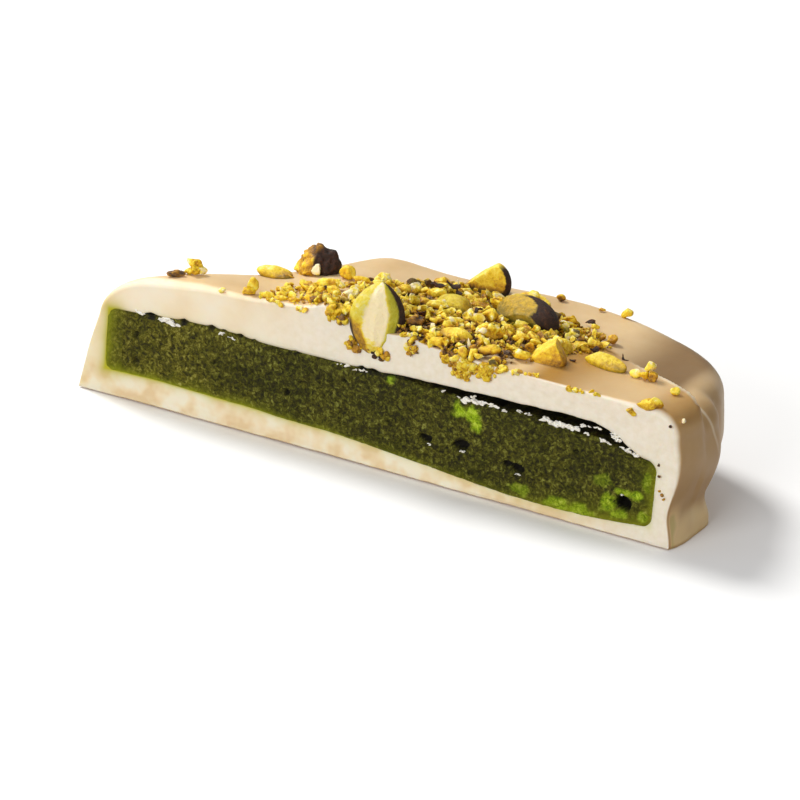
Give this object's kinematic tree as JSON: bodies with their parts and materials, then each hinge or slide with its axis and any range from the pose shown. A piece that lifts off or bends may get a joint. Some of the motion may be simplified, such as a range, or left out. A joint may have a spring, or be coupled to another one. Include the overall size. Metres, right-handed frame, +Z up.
{
  "type": "pistachio toffee",
  "caption": "Cut half of a pistachio toffee: green pistachio slab in a thick white chocolate coat, chopped pistachio set into the top, flat underside.",
  "frame": {"origin": "centre of the bounding box, on the underside plane that the piece rests on", "axes": "+X along the cut from its narrow tip to the two poured lobes, the flat cut face looks towards -Y, +Z up through the nut topping"},
  "size_m": [0.067, 0.026, 0.0187],
  "materials": {
    "white_chocolate": "poured white chocolate, satin skin, dry and chalky where cut, with chopped roasted pistachio set into the top",
    "pistachio_slab": "ground pistachio toffee paste, fine moist crumb, dark green with brighter green at its rim"
  },
  "bodies": {
    "root": {"coating": "white_chocolate", "filling": "pistachio_slab"}
  },
  "joints": []
}
